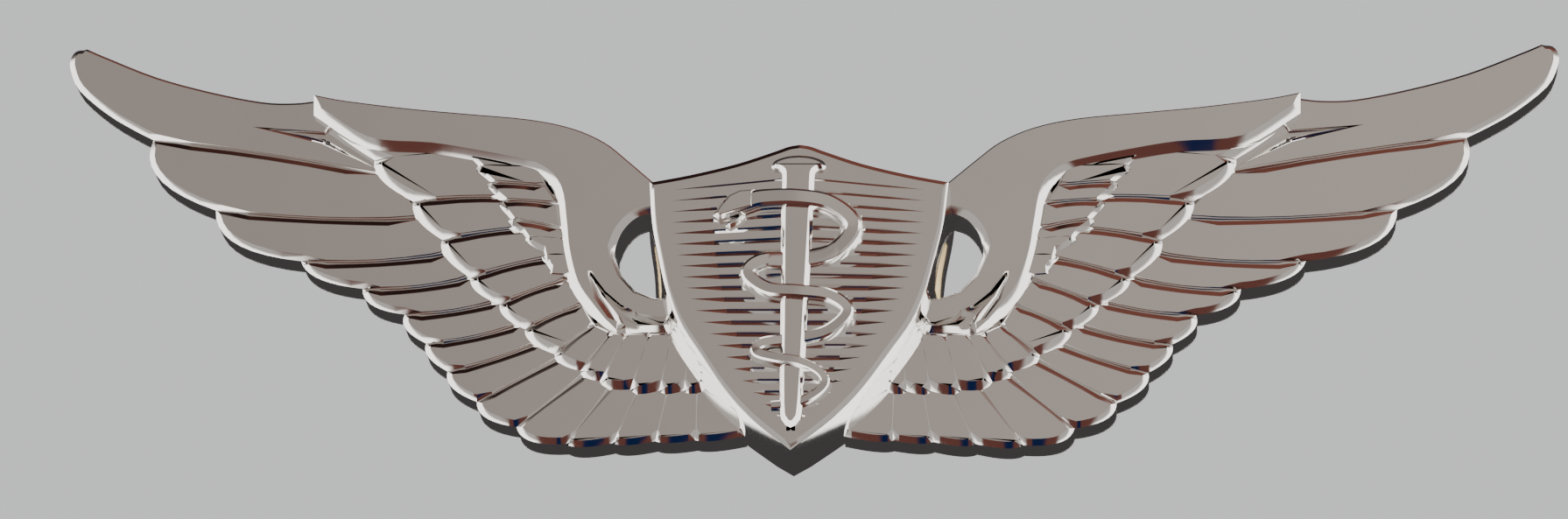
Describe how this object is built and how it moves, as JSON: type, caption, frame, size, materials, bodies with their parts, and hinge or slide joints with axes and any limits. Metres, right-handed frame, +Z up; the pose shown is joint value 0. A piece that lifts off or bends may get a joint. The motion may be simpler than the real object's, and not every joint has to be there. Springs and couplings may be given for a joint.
{
  "type": "aircrew wings badge pin",
  "caption": "Polished silver wings badge with a soldered centre shield carrying a staff and serpent in relief, held to clothing by back posts and squeeze-release butterfly clutches.",
  "frame": {"origin": "on the plate's flat back face, behind the middle of the shield", "axes": "+X along the span towards the viewer's right, +Z up as worn, +Y out of the back towards the clothing, front face towards -Y"},
  "size_m": [0.0684, 0.0124, 0.0207],
  "materials": {
    "polished_silver": "mirror-polished silver plate",
    "nickel": "bright nickel",
    "clutch_brass": "pressed, lightly tumbled brass",
    "spring_brass": "rolled spring brass"
  },
  "bodies": {
    "badge": {"wing_plate": "polished_silver", "shield": "polished_silver", "left_post": "nickel", "right_post": "nickel"},
    "left_clutch": {"left_clutch_base": "clutch_brass", "left_clutch_cap": "clutch_brass"},
    "left_clutch_leaf_right": {"left_clutch_right_leaf": "spring_brass"},
    "left_clutch_leaf_left": {"left_clutch_left_leaf": "spring_brass"},
    "right_clutch": {"right_clutch_base": "clutch_brass", "right_clutch_cap": "clutch_brass"},
    "right_clutch_leaf_right": {"right_clutch_right_leaf": "spring_brass"},
    "right_clutch_leaf_left": {"right_clutch_left_leaf": "spring_brass"}
  },
  "joints": [
    {"name": "left_clutch_slide", "type": "slide", "parent": "badge", "child": "left_clutch", "axis": [0, 1, 0], "range_m": [0, 0.0085]},
    {"name": "left_clutch_squeeze", "type": "hinge", "parent": "left_clutch", "child": "left_clutch_leaf_right", "pos_m": [-0.012, 0.00245, 0.002], "axis": [0, 0, 1], "range_deg": [0, 10], "stiffness_Nm_per_rad": 0.0005},
    {"name": "left_clutch_squeeze_left", "type": "hinge", "parent": "left_clutch", "child": "left_clutch_leaf_left", "pos_m": [-0.0166, 0.00245, 0.002], "axis": [0, 0, -1], "range_deg": [0, 10]},
    {"name": "right_clutch_slide", "type": "slide", "parent": "badge", "child": "right_clutch", "axis": [0, 1, 0], "range_m": [0, 0.0085]},
    {"name": "right_clutch_squeeze", "type": "hinge", "parent": "right_clutch", "child": "right_clutch_leaf_right", "pos_m": [0.0166, 0.00245, 0.002], "axis": [0, 0, 1], "range_deg": [0, 10], "stiffness_Nm_per_rad": 0.0005},
    {"name": "right_clutch_squeeze_left", "type": "hinge", "parent": "right_clutch", "child": "right_clutch_leaf_left", "pos_m": [0.012, 0.00245, 0.002], "axis": [0, 0, -1], "range_deg": [0, 10]}
  ],
  "couplings": [
    {"joint": "left_clutch_squeeze_left", "follows": "left_clutch_squeeze", "ratio": 1},
    {"joint": "right_clutch_squeeze_left", "follows": "right_clutch_squeeze", "ratio": 1}
  ]
}
